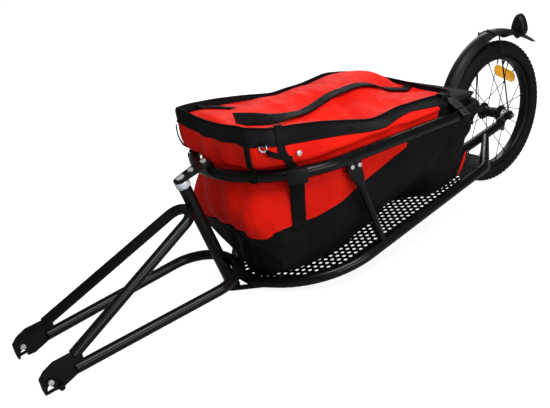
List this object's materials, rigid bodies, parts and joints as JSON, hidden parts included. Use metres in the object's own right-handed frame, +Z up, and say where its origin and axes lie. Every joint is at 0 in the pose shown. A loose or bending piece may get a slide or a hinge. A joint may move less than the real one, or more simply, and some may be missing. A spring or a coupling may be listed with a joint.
{
  "type": "single wheel touring trailer",
  "caption": "Low single-wheel bicycle cargo trailer: a perforated deck inside a tube loop, an upper rail round a soft bag, and a steering tow fork with hook-slot hitches.",
  "frame": {"origin": "On the ground, midway along the length and on the middle plane.", "axes": "+X forward to the towing bicycle, +Y to the trailer's left, +Z up."},
  "size_m": [1.5806, 0.4114, 0.4573],
  "materials": {
    "black_paint": "gloss black powder coat",
    "zinc_steel": "bright zinc plate",
    "bright_collar": "turned and polished",
    "black_anodised": "black anodised",
    "dark_steel": "black spokes on a dark hub",
    "tyre": "knobbly black rubber",
    "rubber": "smooth",
    "black_plastic": "satin moulding",
    "red_lens": "prismatic reflector",
    "amber_lens": "prismatic reflector",
    "black_fabric": "coated woven fabric",
    "red_fabric": "coated woven fabric",
    "webbing": "flat woven webbing"
  },
  "bodies": {
    "frame": {"lower_loop": "black_paint", "deck_plate": "black_paint", "upper_rail": "black_paint", "wheel_stay_left": "black_paint", "wheel_stay_right": "black_paint", "rear_cross_tube": "black_paint", "rear_post_left": "black_paint", "rear_post_right": "black_paint", "side_strut_left": "black_paint", "side_strut_right": "black_paint", "rail_tab_left": "black_paint", "rail_tab_right": "black_paint", "strut_bolt_left_rear": "zinc_steel", "strut_bolt_left_front": "zinc_steel", "strut_bolt_right_rear": "zinc_steel", "strut_bolt_right_front": "zinc_steel", "axle_plate_left": "black_paint", "axle_plate_right": "black_paint", "axle_nut_left": "zinc_steel", "axle_nut_right": "zinc_steel", "wheel_axle": "zinc_steel", "fender": "black_plastic", "fender_band": "black_plastic", "fender_band_bolt": "zinc_steel", "fender_stay_left": "zinc_steel", "fender_stay_right": "zinc_steel", "reflector_housing": "black_plastic", "reflector_lens": "red_lens", "pivot_collar": "bright_collar", "pivot_washer": "zinc_steel", "pivot_pin": "zinc_steel", "pivot_nut": "zinc_steel", "top_bracket": "black_paint", "bracket_bolt_front": "zinc_steel", "bracket_bolt_rear": "zinc_steel", "bottom_bracket": "black_paint", "cargo_bag": "black_fabric", "bag_cover": "red_fabric", "wide_strap_left": "webbing", "wide_strap_right": "webbing", "narrow_strap_left": "webbing", "narrow_strap_right": "webbing", "strap_buckle_left": "black_plastic", "strap_buckle_right": "black_plastic"},
    "tow_fork": {"steering_sleeve": "black_paint", "upper_wishbone": "black_paint", "lower_wishbone": "black_paint", "hitch_plate_left": "black_paint", "hitch_plate_right": "black_paint", "latch_pin_left": "zinc_steel", "latch_pin_right": "zinc_steel"},
    "wheel": {"tyre": "tyre", "wheel_rim": "black_anodised", "hub_and_spokes": "dark_steel", "hub_bearing_left": "zinc_steel", "hub_bearing_right": "zinc_steel", "spoke_reflector": "amber_lens", "valve_stem": "rubber"},
    "latch_left": {"latch_left": "black_paint"},
    "latch_right": {"latch_right": "black_paint"}
  },
  "joints": [
    {"name": "steer", "type": "hinge", "parent": "frame", "child": "tow_fork", "pos_m": [0.33475, 0, 0.034], "axis": [0.308, 0, 0.9514], "range_deg": [-55, 55]},
    {"name": "wheel_spin", "type": "hinge", "parent": "frame", "child": "wheel", "pos_m": [-0.59025, 0, 0.2], "axis": [0, 1, 0], "continuous": true},
    {"name": "latch_left_swing", "type": "hinge", "parent": "tow_fork", "child": "latch_left", "pos_m": [0.77235, 0.0816, 0.0245], "axis": [0, 1, 0], "range_deg": [0, 80]},
    {"name": "latch_right_swing", "type": "hinge", "parent": "tow_fork", "child": "latch_right", "pos_m": [0.77235, -0.0816, 0.0245], "axis": [0, 1, 0], "range_deg": [0, 80]}
  ]
}
